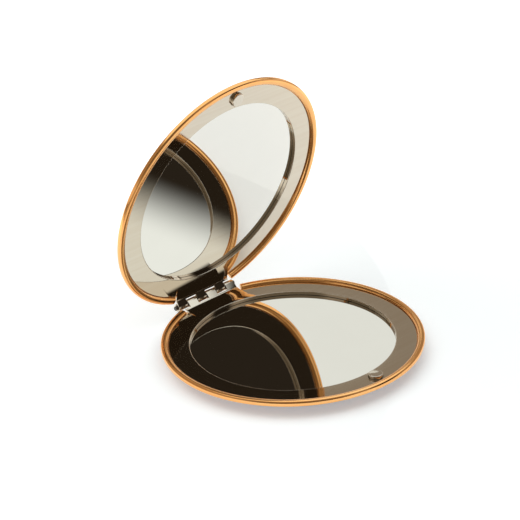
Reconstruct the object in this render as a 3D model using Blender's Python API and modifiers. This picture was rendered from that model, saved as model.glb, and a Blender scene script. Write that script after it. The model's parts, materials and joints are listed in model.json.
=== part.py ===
"""Folding round compact mirror with two looking glasses, modelled piece by piece.

Two halves of the same stampings face each other across one hinge pin. Each half is a domed
shell with a raised rim, a polished plate with a lip turned down round the glass and three
knuckles rolled from its tail, a looking glass, a foam pad behind it and a magnet. The base
carries the magnifying glass and the lid the plain one.

A half is drawn in its own frame: the plate's polished face is at z = 0, the middle of the case
at x = y = 0 and the hinge towards +Y. The base stands on z = 0 of the world, and the lid is the
same half turned over about Y and swung open round the pin.
"""
import math

import bmesh
import bpy
from mathutils import Vector

MM = 0.001

# Case with its raised rim and domed back
CASE_RADIUS = 35.0 * MM
RIM_WIDTH = 2.0 * MM
RIM_HEIGHT = 0.95 * MM
RIM_CROWN = 0.05 * MM
RIM_INNER_ROUND = 0.35 * MM
RIM_OUTER_ROUND = 0.6 * MM
SIDE_DROP = 0.1 * MM
SIDE_ROUND = 0.5 * MM
SHELL_WALL = 0.55 * MM
LEDGE_WIDTH = 1.2 * MM
DOME_SLOPE = math.radians(28)

# Polished plate
SHEET = 0.45 * MM
FRAME_WIDTH = 5.6 * MM
LIP_DROP = 0.5 * MM
LIP_ROUND = 0.3 * MM
PLATE_EDGE_ROUND = 0.1 * MM
SEAT_GAP = 0.1 * MM

# Looking glass and foam pad
GLASS_THICKNESS = 1.1 * MM
GLASS_OVERLAP = 1.2 * MM
GLASS_SEAT_WIDTH = 0.8 * MM
MAGNIFIER_CURVE = 1450.0 * MM
PAD_THICKNESS = 1.25 * MM
PAD_MARGIN = 0.3 * MM

# Hinge
CLOSED_RIM_GAP = 0.1 * MM
HINGE_INSET = 0.4 * MM
PIN_RADIUS = 0.6 * MM
PIN_FIT = 0.05 * MM
PIN_OVERHANG = 0.7 * MM
PIN_CHAMFER = 0.12 * MM
KNUCKLES_PER_HALF = 3
KNUCKLE_WIDTH = 3.15 * MM
KNUCKLE_GAP = 0.3 * MM
TAIL_RISE = math.radians(45)
TAIL_BEND = 0.5 * MM
NECK_SETBACK = 0.25 * MM
NECK_RISE = math.radians(11)
NECK_SEAM = 0.1 * MM
TAIL_SHOULDER = 1.85 * MM
CURL_TURN = math.radians(290)
SLOT_CLEARANCE = 0.3 * MM
RIM_GAP_SIDE = 0.5 * MM
RIM_GAP_FLARE = math.radians(28)
NOTCH_CLEARANCE = 0.65 * MM
CUT_OVERRUN = 1.0 * MM
OPEN_ANGLE = math.radians(73.8)

# Magnets
MAGNET_RADIUS = 1.9 * MM
MAGNET_FIT = 0.1 * MM
MAGNET_CLOSED_GAP = 0.2 * MM
MAGNET_CHAMFER = 0.15 * MM

# Facets of the round shapes
CASE_STEPS = 72
PAD_STEPS = 48
SMALL_STEPS = 24
CURL_STEPS = 20
DOME_STEPS = 5
BEND_STEPS = 4
NECK_STEPS = 4
FILLET_STEPS = 3
GLASS_RINGS = 4
MERGE = 0.01 * MM
SMOOTH_ANGLE = math.radians(35)
QUARTER_TURN = math.radians(90)
HALF_TURN = math.radians(180)

# Heights in a half, from the glass down to the underside of the case
LIP_BOTTOM = -SHEET - LIP_DROP
GLASS_TOP = LIP_BOTTOM - SEAT_GAP
GLASS_BOTTOM = GLASS_TOP - GLASS_THICKNESS
PAD_TOP = GLASS_BOTTOM - SEAT_GAP
PAD_BOTTOM = PAD_TOP - PAD_THICKNESS
FLOOR = PAD_BOTTOM - SEAT_GAP
HALF_DEPTH = SHELL_WALL - FLOOR
LEDGE = -SHEET - SEAT_GAP

# Radii in a half
RIM_INNER_RADIUS = CASE_RADIUS - RIM_WIDTH
LEDGE_RADIUS = RIM_INNER_RADIUS - LEDGE_WIDTH
PLATE_RADIUS = RIM_INNER_RADIUS - SEAT_GAP
OPENING_RADIUS = PLATE_RADIUS - FRAME_WIDTH
GLASS_RADIUS = OPENING_RADIUS + GLASS_OVERLAP
MAGNET_PLACE = (OPENING_RADIUS + RIM_INNER_RADIUS) / 2

# The dome is an arc that leaves the side's fillet at its slope and ends level at the flat
DOME_TOP = -SIDE_DROP - SIDE_ROUND * math.cos(DOME_SLOPE)
DOME_EDGE = CASE_RADIUS - SIDE_ROUND + SIDE_ROUND * math.sin(DOME_SLOPE)
DOME_RADIUS = (HALF_DEPTH + DOME_TOP) / (1 - math.cos(DOME_SLOPE))
FLAT_RADIUS = DOME_EDGE - DOME_RADIUS * math.sin(DOME_SLOPE)
PAD_RADIUS = FLAT_RADIUS - PAD_MARGIN

# Hinge places
HINGE_Y = CASE_RADIUS - HINGE_INSET
HINGE_Z = RIM_HEIGHT + CLOSED_RIM_GAP / 2
BORE_RADIUS = PIN_RADIUS + PIN_FIT
KNUCKLE_RADIUS = BORE_RADIUS + SHEET
KNUCKLE_PITCH = KNUCKLE_WIDTH + KNUCKLE_GAP
HINGE_REACH = KNUCKLES_PER_HALF * KNUCKLE_PITCH - KNUCKLE_GAP / 2
TAIL_LEFT = KNUCKLE_PITCH - HINGE_REACH - TAIL_SHOULDER
SLOT_START = HINGE_Y - (KNUCKLE_RADIUS + SLOT_CLEARANCE / 2) / math.sin(TAIL_RISE)
NOTCH_FLOOR = HINGE_Z - KNUCKLE_RADIUS - NOTCH_CLEARANCE
MAGNET_TOP = HINGE_Z - MAGNET_CLOSED_GAP / 2

# The neck is an arc that leaves the plate level behind the lip, and its curve is the one that
# brings it at its full slope to the bend below the straight rise to the knuckles
NECK_START = OPENING_RADIUS + SHEET + NECK_SETBACK
RISE_OFFSET = HINGE_Z * math.cos(TAIL_RISE) - (HINGE_Y - NECK_START) * math.sin(TAIL_RISE)
BEND_TURN = TAIL_RISE - NECK_RISE
NECK_HEIGHT = KNUCKLE_RADIUS + RISE_OFFSET + TAIL_BEND * (1 - math.cos(BEND_TURN))
NECK_CURVE = NECK_HEIGHT / (math.cos(TAIL_RISE) - math.cos(BEND_TURN))
BEND_Y = NECK_START + (NECK_CURVE - TAIL_BEND) * math.sin(NECK_RISE)
BEND_Z = NECK_CURVE - (NECK_CURVE - TAIL_BEND) * math.cos(NECK_RISE)

# Finishes: colour, roughness, metallic
FINISHES = {
    "gold_plating": ((0.83, 0.52, 0.28, 1.0), 0.16, 1.0),
    "polished_steel": ((0.66, 0.64, 0.61, 1.0), 0.07, 1.0),
    "mirror_silver": ((0.88, 0.89, 0.88, 1.0), 0.02, 1.0),
    "white_foam": ((0.86, 0.85, 0.82, 1.0), 0.9, 0.0),
    "nickel_plating": ((0.72, 0.70, 0.67, 1.0), 0.14, 1.0),
    "dark_steel": ((0.12, 0.115, 0.11, 1.0), 0.3, 1.0),
}


def clear_scene():
    """Take everything out of the open scene."""
    for old in list(bpy.data.objects):
        bpy.data.objects.remove(old, do_unlink=True)


def new_collection(name):
    """A new collection linked to the scene."""
    collection = bpy.data.collections.new(name)
    bpy.context.scene.collection.children.link(collection)
    return collection


def finish(name):
    """The named finish as a material, made the first time that it is asked for."""
    material = bpy.data.materials.get(name)
    if material:
        return material
    colour, roughness, metallic = FINISHES[name]
    material = bpy.data.materials.new(name)
    material.use_nodes = True
    material.diffuse_color = colour
    shader = material.node_tree.nodes["Principled BSDF"]
    shader.inputs["Base Color"].default_value = colour
    shader.inputs["Roughness"].default_value = roughness
    shader.inputs["Metallic"].default_value = metallic
    return material


def arc(centre, radius, start, end, steps):
    """Points along an arc from the start angle to the end angle, both included."""
    angles = [start + (end - start) * i / steps for i in range(steps + 1)]
    return [(centre[0] + radius * math.cos(a), centre[1] + radius * math.sin(a)) for a in angles]


def drawing(name, mesh, drawings):
    """A guide object that pieces are cut from or with."""
    guide = bpy.data.objects.new(name, mesh)
    guide.hide_render = True
    guide.display_type = "WIRE"
    drawings.objects.link(guide)
    return guide


def turned(name, profile, steps, drawings, ring=False):
    """A turned shape. Its profile of (radius, height) runs down the outer side."""
    count = len(profile)
    edges = [(i, i + 1) for i in range(count - 1)]
    if ring:
        edges.append((count - 1, 0))
    mesh = bpy.data.meshes.new(name)
    mesh.from_pydata([(radius, 0.0, height) for radius, height in profile], edges, [])
    guide = drawing(name, mesh, drawings)
    screw = guide.modifiers.new("Turn", "SCREW")
    screw.axis = "Z"
    screw.steps = steps
    screw.render_steps = steps
    screw.use_merge_vertices = True
    screw.merge_threshold = MERGE
    return guide


def extruded(name, outline, low, high, drawings):
    """An outline of (y, z) points drawn out along X from low to high."""
    curve = bpy.data.curves.new(name, "CURVE")
    curve.dimensions = "2D"
    curve.fill_mode = "BOTH"
    curve.extrude = (high - low) / 2
    spline = curve.splines.new("POLY")
    spline.points.add(len(outline) - 1)
    for point, (across, up) in zip(spline.points, outline):
        point.co = (across, up, 0.0, 1.0)
    spline.use_cyclic_u = True
    flat = bpy.data.objects.new(name + "_outline", curve)
    drawings.objects.link(flat)
    mesh = evaluated_mesh(flat)
    bpy.data.objects.remove(flat, do_unlink=True)
    welded = bmesh.new()
    welded.from_mesh(mesh)
    bmesh.ops.remove_doubles(welded, verts=welded.verts, dist=MERGE)
    welded.to_mesh(mesh)
    welded.free()
    guide = drawing(name, mesh, drawings)
    guide.rotation_euler = (QUARTER_TURN, 0.0, QUARTER_TURN)
    guide.location = ((low + high) / 2, 0.0, 0.0)
    return guide


def block(name, low, high, drawings, flare=0.0):
    """A box between two corners. A flare widens both sides towards +Y by that angle."""
    low = Vector(low)
    high = Vector(high)
    size = high - low
    middle = (low + high) / 2
    spread = size.y * math.tan(flare)
    cube = bmesh.new()
    bmesh.ops.create_cube(cube, size=1.0)
    for vertex in cube.verts:
        unit = vertex.co.copy()
        vertex.co = middle + Vector((unit.x * size.x, unit.y * size.y, unit.z * size.z))
        if unit.y > 0:
            vertex.co.x += math.copysign(spread, unit.x)
    mesh = bpy.data.meshes.new(name)
    cube.to_mesh(mesh)
    cube.free()
    return drawing(name, mesh, drawings)


def combine(guide, operation, tool):
    """Join the tool to a guide with UNION, or cut the tool away with DIFFERENCE."""
    step = guide.modifiers.new(tool.name, "BOOLEAN")
    step.operation = operation
    step.solver = "EXACT"
    step.object = tool


def evaluated_mesh(guide):
    """A new mesh with the guide's modifiers worked out."""
    bpy.context.view_layer.update()
    evaluated = guide.evaluated_get(bpy.context.evaluated_depsgraph_get())
    return bpy.data.meshes.new_from_object(evaluated)


def finished_mesh(guide, finish_name):
    """The guide's finished mesh, shaded smooth between its sharp edges, in one finish."""
    mesh = evaluated_mesh(guide)
    mesh.name = guide.name
    mesh.materials.clear()
    mesh.materials.append(finish(finish_name))
    mesh.shade_smooth()
    mesh.set_sharp_from_angle(angle=SMOOTH_ANGLE)
    return mesh


def shell_profile():
    """Section of the shell, from the middle of its floor over the rim to its underside."""
    rim_top = RIM_HEIGHT - RIM_CROWN
    inner_round = (RIM_INNER_RADIUS + RIM_INNER_ROUND, rim_top - RIM_INNER_ROUND)
    outer_round = (CASE_RADIUS - RIM_OUTER_ROUND, rim_top - RIM_OUTER_ROUND)
    side = (CASE_RADIUS - SIDE_ROUND, -SIDE_DROP)
    dome = (FLAT_RADIUS, DOME_RADIUS - HALF_DEPTH)
    inner_dome_radius = DOME_RADIUS - SHELL_WALL
    inner_slope = math.asin((LEDGE_RADIUS - FLAT_RADIUS) / inner_dome_radius)
    down = -QUARTER_TURN
    profile = [(0.0, FLOOR)]
    profile += arc(dome, inner_dome_radius, down, down + inner_slope, BEND_STEPS)
    profile += [(LEDGE_RADIUS, LEDGE), (RIM_INNER_RADIUS, LEDGE)]
    profile += arc(inner_round, RIM_INNER_ROUND, HALF_TURN, QUARTER_TURN, FILLET_STEPS)
    profile += [((inner_round[0] + outer_round[0]) / 2, RIM_HEIGHT)]
    profile += arc(outer_round, RIM_OUTER_ROUND, QUARTER_TURN, 0.0, BEND_STEPS)
    profile += arc(side, SIDE_ROUND, 0.0, down + DOME_SLOPE, FILLET_STEPS)
    profile += arc(dome, DOME_RADIUS, down + DOME_SLOPE, down, DOME_STEPS)[1:]
    profile += [(0.0, -HALF_DEPTH)]
    return profile


def plate_profile():
    """Section of the plate: flat face, rounded edge and the lip turned down round the glass."""
    lip_round = (OPENING_RADIUS + LIP_ROUND, -LIP_ROUND)
    lip_back = OPENING_RADIUS + SHEET
    profile = arc(lip_round, LIP_ROUND, HALF_TURN, QUARTER_TURN, FILLET_STEPS)
    profile += [(PLATE_RADIUS - PLATE_EDGE_ROUND, 0.0), (PLATE_RADIUS, -PLATE_EDGE_ROUND)]
    profile += [(PLATE_RADIUS, -SHEET), (lip_back, -SHEET)]
    profile += [(lip_back, LIP_BOTTOM), (OPENING_RADIUS, LIP_BOTTOM)]
    return profile


def tail_outline():
    """Side view of the plate's tail: rising neck, bend, straight rise and the curl round the pin."""
    axis = (HINGE_Y, HINGE_Z)
    neck = (NECK_START, NECK_CURVE)
    bend = (BEND_Y, BEND_Z)
    root = NECK_START - NECK_SEAM
    down = -QUARTER_TURN
    neck_end = down + NECK_RISE
    bend_end = down + TAIL_RISE
    curl_start = QUARTER_TURN + TAIL_RISE
    curl_end = curl_start - CURL_TURN
    outline = [(root, 0.0)]
    outline += arc(neck, NECK_CURVE, down, neck_end, NECK_STEPS)
    outline += arc(bend, TAIL_BEND, neck_end, bend_end, BEND_STEPS)[1:]
    outline += arc(axis, KNUCKLE_RADIUS, curl_start, curl_end, CURL_STEPS)
    outline += arc(axis, BORE_RADIUS, curl_end, curl_start, CURL_STEPS)
    outline += arc(bend, TAIL_BEND + SHEET, bend_end, neck_end, BEND_STEPS)
    outline += arc(neck, NECK_CURVE + SHEET, neck_end, down, NECK_STEPS)[1:]
    outline += [(root, -SHEET)]
    return outline


def glass_profile(curve=0.0):
    """Section of a looking glass. With a curve, its face is a hollow of that radius."""
    face = [(0.0, GLASS_TOP)]
    if curve:
        reach = GLASS_RADIUS - GLASS_SEAT_WIDTH
        radii = [reach * i / GLASS_RINGS for i in range(GLASS_RINGS + 1)]
        face = [(r, GLASS_TOP - (reach * reach - r * r) / (2 * curve)) for r in radii]
    return face + [(GLASS_RADIUS, GLASS_TOP), (GLASS_RADIUS, GLASS_BOTTOM), (0.0, GLASS_BOTTOM)]


def pad_profile():
    """Section of the foam pad that presses the glass up against the lip."""
    return [(0.0, PAD_TOP), (PAD_RADIUS, PAD_TOP), (PAD_RADIUS, PAD_BOTTOM), (0.0, PAD_BOTTOM)]


def chamfered_profile(radius, chamfer, low, high):
    """Section of a plain cylinder with a chamfer at both ends."""
    flat = radius - chamfer
    profile = [(0.0, high), (flat, high), (radius, high - chamfer)]
    return profile + [(radius, low + chamfer), (flat, low), (0.0, low)]


def draw_shell(drawings):
    """Domed shell whose rim opens at the back for the hinge."""
    shell = turned("shell", shell_profile(), CASE_STEPS, drawings)
    left = TAIL_LEFT - RIM_GAP_SIDE
    right = HINGE_REACH + RIM_GAP_SIDE
    start = math.sqrt(RIM_INNER_RADIUS ** 2 - right ** 2)
    low = (left, start, NOTCH_FLOOR)
    high = (right, CASE_RADIUS + CUT_OVERRUN, RIM_HEIGHT + CUT_OVERRUN)
    combine(shell, "DIFFERENCE", block("rim_gap", low, high, drawings, RIM_GAP_FLARE))
    return shell


def draw_tail(drawings):
    """The plate's tail with slots between its knuckles, where the other half's run."""
    tail = extruded("plate_tail", tail_outline(), TAIL_LEFT, HINGE_REACH, drawings)
    bottom = -SHEET - CUT_OVERRUN
    top = HINGE_Z + KNUCKLE_RADIUS + CUT_OVERRUN
    back = HINGE_Y + KNUCKLE_RADIUS + CUT_OVERRUN
    for i in range(KNUCKLES_PER_HALF):
        right = HINGE_REACH - KNUCKLE_WIDTH - 2 * i * KNUCKLE_PITCH
        left = right - KNUCKLE_PITCH - KNUCKLE_GAP
        low = (left, SLOT_START, bottom)
        slot = block(f"knuckle_slot_{i + 1}", low, (right, back, top), drawings)
        combine(tail, "DIFFERENCE", slot)
    return tail


def draw_plate(drawings):
    """Plate with its lip, the neck and knuckles of its tail, and a hole for the magnet."""
    plate = turned("plate", plate_profile(), CASE_STEPS, drawings, ring=True)
    bottom = -SHEET - CUT_OVERRUN
    low = (TAIL_LEFT + NECK_SEAM, NECK_START, bottom)
    high = (HINGE_REACH - NECK_SEAM, PLATE_RADIUS + CUT_OVERRUN, CUT_OVERRUN)
    combine(plate, "DIFFERENCE", block("neck_room", low, high, drawings))
    combine(plate, "UNION", draw_tail(drawings))
    hole_profile = chamfered_profile(MAGNET_RADIUS + MAGNET_FIT, MAGNET_CHAMFER, bottom, CUT_OVERRUN)
    hole = turned("magnet_hole", hole_profile, SMALL_STEPS, drawings)
    hole.location = (0.0, -MAGNET_PLACE, 0.0)
    combine(plate, "DIFFERENCE", hole)
    return plate


def half_meshes(drawings):
    """The meshes that both halves share, by the name of the piece."""
    pad = turned("mirror_pad", pad_profile(), PAD_STEPS, drawings)
    magnet_profile = chamfered_profile(MAGNET_RADIUS, MAGNET_CHAMFER, -SHEET, MAGNET_TOP)
    magnet = turned("magnet", magnet_profile, SMALL_STEPS, drawings)
    return {
        "shell": finished_mesh(draw_shell(drawings), "gold_plating"),
        "plate": finished_mesh(draw_plate(drawings), "polished_steel"),
        "mirror_pad": finished_mesh(pad, "white_foam"),
        "magnet": finished_mesh(magnet, "nickel_plating"),
    }


def glass_mesh(name, profile, drawings):
    """The mesh of one looking glass."""
    return finished_mesh(turned(name, profile, CASE_STEPS, drawings), "mirror_silver")


def frame(name, parts, place, parent=None, turn=(0.0, 0.0, 0.0)):
    """An empty that carries the pieces of a half."""
    empty = bpy.data.objects.new(name, None)
    empty.parent = parent
    empty.location = place
    empty.rotation_euler = turn
    parts.objects.link(empty)
    return empty


def piece(name, mesh, carrier, parts, place=(0.0, 0.0, 0.0), turn=(0.0, 0.0, 0.0)):
    """A piece of the object, placed in the frame that carries it."""
    made = bpy.data.objects.new(name, mesh)
    made.parent = carrier
    made.location = place
    made.rotation_euler = turn
    parts.objects.link(made)
    return made


def place_half(name, carrier, meshes, glass, parts):
    """Put the pieces of one half in its frame."""
    magnet_place = (0.0, -MAGNET_PLACE, 0.0)
    piece(name + "_shell", meshes["shell"], carrier, parts)
    piece(name + "_plate", meshes["plate"], carrier, parts)
    piece(name + "_mirror_glass", glass, carrier, parts)
    piece(name + "_mirror_pad", meshes["mirror_pad"], carrier, parts)
    piece(name + "_magnet", meshes["magnet"], carrier, parts, magnet_place)


def build():
    """Draw the pieces once and place them in the base and in the open lid."""
    clear_scene()
    parts = new_collection("folding_compact_mirror")
    drawings = new_collection("drawings_and_cutters")
    meshes = half_meshes(drawings)
    magnifier = glass_mesh("magnifying_glass", glass_profile(MAGNIFIER_CURVE), drawings)
    plain = glass_mesh("plain_glass", glass_profile(), drawings)

    base = frame("base_frame", parts, (0.0, 0.0, HALF_DEPTH))
    place_half("base", base, meshes, magnifier, parts)

    pin_end = HINGE_REACH + PIN_OVERHANG
    pin_profile = chamfered_profile(PIN_RADIUS, PIN_CHAMFER, -pin_end, pin_end)
    pin = finished_mesh(turned("pin", pin_profile, SMALL_STEPS, drawings), "dark_steel")
    piece("hinge_pin", pin, base, parts, (0.0, HINGE_Y, HINGE_Z), (0.0, QUARTER_TURN, 0.0))

    swing = frame("lid_hinge", parts, (0.0, HINGE_Y, HINGE_Z), base, (OPEN_ANGLE, HALF_TURN, 0.0))
    lid = frame("lid_frame", parts, (0.0, -HINGE_Y, -HINGE_Z), swing)
    place_half("lid", lid, meshes, plain, parts)


build()
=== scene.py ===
"""The looks of a round folding compact mirror: gilt shells, polished plates, two glasses.

Each half is drawn in its own frame, with the plate's polished face at z = 0, the middle of the
case at x = y = 0 and the hinge towards +Y. A half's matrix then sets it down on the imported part.
"""

import json
import math

import bpy
from mathutils import Matrix, Vector


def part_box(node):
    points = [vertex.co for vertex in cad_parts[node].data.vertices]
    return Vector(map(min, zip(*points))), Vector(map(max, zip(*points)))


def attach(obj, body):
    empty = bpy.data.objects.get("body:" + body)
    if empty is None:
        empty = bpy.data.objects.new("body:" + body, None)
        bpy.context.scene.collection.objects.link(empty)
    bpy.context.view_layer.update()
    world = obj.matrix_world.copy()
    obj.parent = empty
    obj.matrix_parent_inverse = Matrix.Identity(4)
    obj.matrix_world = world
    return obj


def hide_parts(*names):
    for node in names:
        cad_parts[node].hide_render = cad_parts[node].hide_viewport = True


bl_info = {
    "name": "Folding compact mirror",
    "version": (1, 0, 0),
    "blender": (4, 5, 0),
    "location": "3D View > Sidebar > Compact",
    "description": "Models the pieces, finishes and studio of a round folding compact mirror",
    "category": "Object",
}

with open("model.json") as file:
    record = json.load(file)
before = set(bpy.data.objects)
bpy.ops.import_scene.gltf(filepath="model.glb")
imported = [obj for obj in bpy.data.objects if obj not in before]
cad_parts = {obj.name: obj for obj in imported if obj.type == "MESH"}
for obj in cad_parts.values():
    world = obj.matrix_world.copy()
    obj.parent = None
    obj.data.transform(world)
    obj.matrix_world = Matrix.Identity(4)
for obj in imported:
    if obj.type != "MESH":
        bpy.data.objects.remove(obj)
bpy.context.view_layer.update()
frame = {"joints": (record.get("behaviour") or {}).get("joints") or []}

MM = 0.001
MERGE = 0.001 * MM
QUARTER_TURN = math.radians(90)
HALF_TURN = math.radians(180)

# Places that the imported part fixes, in a half's own frame
SHEET = 0.45 * MM
HINGE_JOINT = frame["joints"][0]
OPEN_ANGLE = math.radians(-HINGE_JOINT["range_deg"][0])
PLATE_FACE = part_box("base_magnet")[0].z + SHEET
HINGE_Y = HINGE_JOINT["pos_m"][1]
HINGE_Z = HINGE_JOINT["pos_m"][2] - PLATE_FACE
CASE_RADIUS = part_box("base_shell")[1].x
RIM_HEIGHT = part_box("base_shell")[1].z - PLATE_FACE
PLATE_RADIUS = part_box("base_plate")[1].x
LIP_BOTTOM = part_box("base_plate")[0].z - PLATE_FACE
GLASS_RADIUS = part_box("base_mirror_glass")[1].x
GLASS_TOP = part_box("base_mirror_glass")[1].z - PLATE_FACE
GLASS_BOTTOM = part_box("base_mirror_glass")[0].z - PLATE_FACE
PAD_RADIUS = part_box("base_mirror_pad")[1].x
PAD_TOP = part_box("base_mirror_pad")[1].z - PLATE_FACE
PAD_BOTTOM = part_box("base_mirror_pad")[0].z - PLATE_FACE
MAGNET_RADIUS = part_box("base_magnet")[1].x
MAGNET_PLACE = -(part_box("base_magnet")[0].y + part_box("base_magnet")[1].y) / 2
MAGNET_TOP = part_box("base_magnet")[1].z - PLATE_FACE
PIN_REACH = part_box("hinge_pin")[1].x
PIN_RADIUS = (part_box("hinge_pin")[1].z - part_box("hinge_pin")[0].z) / 2
KNUCKLE_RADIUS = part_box("base_plate")[1].y - HINGE_Y


def length(name, description, default):
    """A size that the user can change in the panel."""
    return bpy.props.FloatProperty(
        name=name, description=description, default=default, min=0.0, precision=5, unit="LENGTH"
    )


def angle(name, description, degrees):
    """An angle that the user can change in the panel."""
    return bpy.props.FloatProperty(
        name=name, description=description, default=math.radians(degrees), subtype="ANGLE"
    )


def share(name, description, default):
    """A value from 0 to 1 that the user can change in the panel."""
    return bpy.props.FloatProperty(
        name=name, description=description, default=default, min=0.0, max=1.0, subtype="FACTOR"
    )


def colour(name, description, default):
    """A colour that the user can change in the panel."""
    return bpy.props.FloatVectorProperty(
        name=name, description=description, default=default, min=0.0, max=1.0, subtype="COLOR"
    )


class CompactShellSettings(bpy.types.PropertyGroup):
    """Sizes of the gilt shells."""

    rim_width: length("Rim width", "Width of the raised rim round the plate", 2.0 * MM)
    rim_crown: length("Rim crown", "Height that the rim's top swells by", 0.05 * MM)
    inner_round: length("Inner round", "Fillet on the rim's inner edge", 0.85 * MM)
    outer_round: length("Outer round", "Fillet on the rim's outer edge", 0.6 * MM)
    side_drop: length("Side drop", "Depth of the plain side under the plate's face", 0.1 * MM)
    side_round: length("Side round", "Fillet between the side and the dome", 0.5 * MM)
    wall: length("Wall", "Thickness of the domed back", 0.55 * MM)
    ledge_width: length("Ledge width", "Width of the ledge that the plate lies on", 1.2 * MM)
    dome_slope: angle("Dome slope", "Slope of the dome where it leaves the side", 28)
    gap_side: length("Gap side", "Room in the rim beside the hinge", 0.5 * MM)
    gap_flare: angle("Gap flare", "Flare of the rim's ends at the hinge", 28)
    notch_room: length("Notch room", "Room under the knuckles", 0.65 * MM)
    edge_round: length("Edge round", "Rounding on the rim's cut ends", 0.07 * MM)


class CompactPlateSettings(bpy.types.PropertyGroup):
    """Sizes of the polished plates and their rolled knuckles."""

    frame_width: length("Frame width", "Width of the plate round the glass", 5.6 * MM)
    lip_round: length("Lip round", "Fillet where the plate turns down to the glass", 0.2 * MM)
    edge_round: length("Edge round", "Rounding on the plate's outer edge", 0.1 * MM)
    cut_round: length("Cut round", "Rounding on the stamped edges", 0.05 * MM)
    knuckles: bpy.props.IntProperty(
        name="Knuckles", description="Knuckles rolled from each plate", default=3, min=1
    )
    knuckle_width: length("Knuckle width", "Width of one knuckle", 3.15 * MM)
    knuckle_gap: length("Knuckle gap", "Gap between neighbouring knuckles", 0.3 * MM)
    shoulder: length("Shoulder", "Width of the tail beside its last knuckle", 1.85 * MM)
    neck_setback: length("Neck setback", "Flat left between the lip and the neck", 0.25 * MM)
    neck_rise: angle("Neck rise", "Slope of the neck where it meets the bend", 11)
    neck_seam: length("Neck seam", "Overlap of the neck and the disc", 0.1 * MM)
    tail_bend: length("Tail bend", "Inner radius of the bend", 0.5 * MM)
    tail_rise: angle("Tail rise", "Slope of the tail behind its bend", 45)
    curl_turn: angle("Curl turn", "How far a knuckle curls round the pin", 290)
    slot_room: length("Slot room", "Room between a slot's end and the other plate", 0.3 * MM)
    magnet_fit: length("Magnet fit", "Room round the magnet in its hole", 0.1 * MM)


class CompactGlassSettings(bpy.types.PropertyGroup):
    """Sizes of the looking glasses, the pads, the magnets and the pin."""

    magnifier_curve: length("Magnifier curve", "Radius of the base glass's hollow", 1450.0 * MM)
    seat_width: length("Seat width", "Flat border of the magnifying glass", 0.8 * MM)
    glass_edge: length("Glass edge", "Ground edge of the glasses", 0.12 * MM)
    pad_edge: length("Pad edge", "Rounding on the foam pads", 0.25 * MM)
    magnet_edge: length("Magnet edge", "Rounding on the magnets", 0.25 * MM)
    pin_edge: length("Pin edge", "Rounding on the pin's ends", 0.12 * MM)


class CompactFinishSettings(bpy.types.PropertyGroup):
    """Colours and gloss of the finishes."""

    gold: colour("Gold", "Rose-gold plating of the shells", (1.0, 0.53, 0.20))
    gold_deep: colour("Deep gold", "Plating where it is a little thicker", (0.96, 0.46, 0.155))
    gold_smooth: share("Gold smooth", "Roughness of the plating where it shines", 0.13)
    gold_worn: share("Gold worn", "Roughness of the plating where hands dull it", 0.19)
    steel: colour("Steel", "Polished plates", (0.71, 0.63, 0.52))
    steel_warm: colour("Warm steel", "The plates' warmer streaks", (0.68, 0.59, 0.475))
    steel_smooth: share("Steel smooth", "Roughness of the plates between their streaks", 0.025)
    steel_satin: share("Steel satin", "Roughness of the plates in their streaks", 0.055)
    steel_score: length("Steel score", "Depth of the polishing streaks", 0.00012 * MM)
    silver: colour("Silver", "Silvering of the glasses", (0.86, 0.83, 0.775))
    silver_dim: colour("Dim silver", "Silvering where it is a little thinner", (0.85, 0.82, 0.765))
    silver_haze: share("Silver haze", "Roughness of the faint film on the glasses", 0.012)
    nickel: colour("Nickel", "Plating of the magnets", (0.73, 0.66, 0.56))
    nickel_deep: colour("Deep nickel", "The magnets' darker marks", (0.68, 0.60, 0.50))
    nickel_smooth: share("Nickel smooth", "Roughness of the magnets' bright parts", 0.03)
    nickel_worn: share("Nickel worn", "Roughness where the magnets meet", 0.1)
    pin: colour("Pin", "Dark oxide of the hinge pin", (0.09, 0.085, 0.08))
    pin_bare: colour("Bare pin", "Steel that shows through the oxide", (0.20, 0.19, 0.175))
    foam: colour("Foam", "Foam pads behind the glasses", (0.84, 0.83, 0.80))
    # Painted shade: the darker colour at the bottom of the foam's cells, where the cells dip
    foam_pit_shade: colour("Deep foam", "Bottom of the foam's cells", (0.62, 0.60, 0.56))
    foam_cell: length("Foam cell", "Width of a cell of the foam", 0.35 * MM)
    foam_relief: length("Foam relief", "Depth of the foam's cells", 0.06 * MM)


# Facets of the round shapes
CASE_STEPS = 256
PAD_STEPS = 96
SMALL_STEPS = 64
FILLET_STEPS = 8
DOME_STEPS = 36
GLASS_RINGS = 40
BEND_STEPS = 12
NECK_STEPS = 24
CURL_STEPS = 72
EDGE_STEPS = 2

# Limits that tell edges and faces apart, and how far a cut goes past its piece
SMOOTH_ANGLE = math.radians(28)
SHARP_ANGLE = math.radians(50)
FACING = 0.5
FLATS_WEIGHT = 100
CUT_OVERRUN = 1.0 * MM
SLIVER = 0.02 * MM

# The part of the noise's values that the finishes use
NOISE_LOW = 0.3
NOISE_HIGH = 0.7

# Widths of the finishes' patches, streaks and marks
GOLD_PATCH = 14.0 * MM
GOLD_WEAR = 1.6 * MM
STEEL_PATCH = 1.2 * MM
STEEL_STREAK = 0.09 * MM
STEEL_STRETCH = 60.0
SILVER_PATCH = 9.0 * MM
SILVER_FILM = 3.0 * MM
NICKEL_WEAR = 0.3 * MM
PIN_WEAR = 0.4 * MM

# Roughness of the pin's oxide, of its bare steel and of the foam
PIN_ROUGH = 0.38
PIN_SMOOTH = 0.2
FOAM_ROUGHNESS = 0.9


def base_matrix():
    """Where the lower half's frame lies in the row frame."""
    return Matrix.Translation((0.0, 0.0, PLATE_FACE))


def lid_matrix():
    """Where the upper half's frame lies: turned over about Y, then swung open on the pin."""
    axis = Matrix.Translation((0.0, HINGE_Y, HINGE_Z))
    swing = Matrix.Rotation(-OPEN_ANGLE, 4, "X")
    turn_over = Matrix.Rotation(HALF_TURN, 4, "Y")
    return base_matrix() @ axis @ swing @ turn_over @ axis.inverted()


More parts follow.
